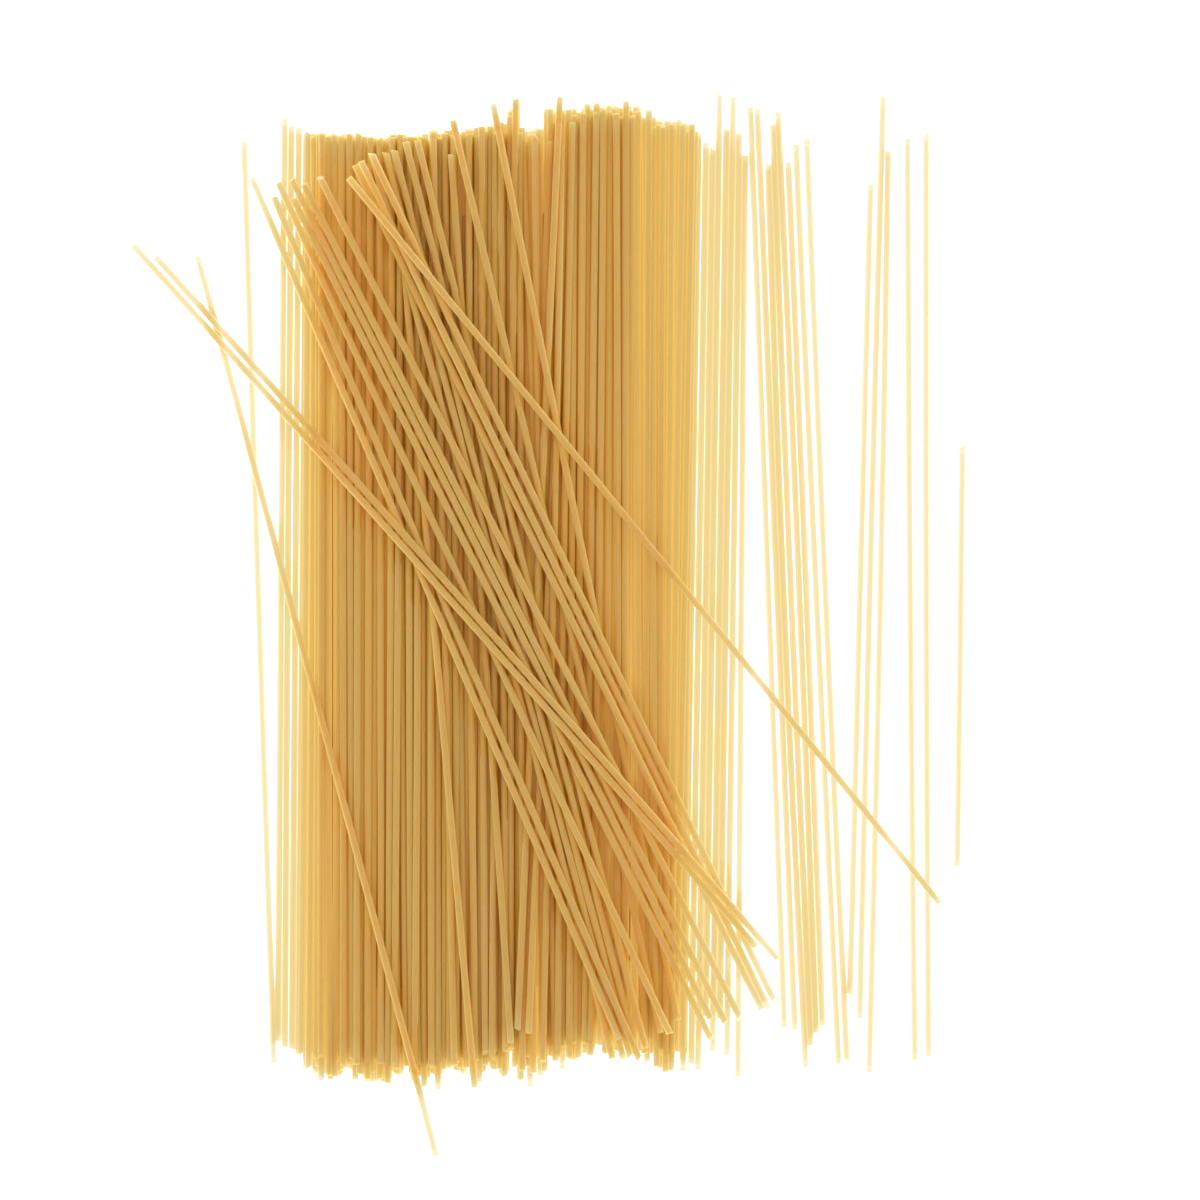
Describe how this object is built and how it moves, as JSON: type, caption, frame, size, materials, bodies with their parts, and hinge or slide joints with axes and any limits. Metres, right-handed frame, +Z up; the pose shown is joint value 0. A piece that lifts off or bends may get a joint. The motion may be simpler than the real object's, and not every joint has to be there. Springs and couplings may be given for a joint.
{
  "type": "bundle of dry spaghetti",
  "caption": "Heap of dry spaghetti lying loose on a table: a low mound of parallel strands, a fan of strands slanting across it and single strands beside it.",
  "frame": {"origin": "on the table, under the middle of the whole spread of strands", "axes": "+Y along the laid strands, +X across them, +Z up from the table"},
  "size_m": [0.2312, 0.2936, 0.0215],
  "materials": {
    "dry_pasta": "dry durum wheat pasta, faintly rough, slightly translucent"
  },
  "bodies": {
    "root": {"spaghetti_bundle": "dry_pasta", "loose_strand_1": "dry_pasta", "loose_strand_2": "dry_pasta", "loose_strand_3": "dry_pasta", "loose_strand_4": "dry_pasta", "loose_strand_5": "dry_pasta", "loose_strand_6": "dry_pasta", "loose_strand_7": "dry_pasta", "loose_strand_8": "dry_pasta", "loose_strand_9": "dry_pasta", "loose_strand_10": "dry_pasta", "loose_strand_11": "dry_pasta", "loose_strand_12": "dry_pasta", "loose_strand_13": "dry_pasta", "loose_strand_14": "dry_pasta"}
  },
  "joints": []
}
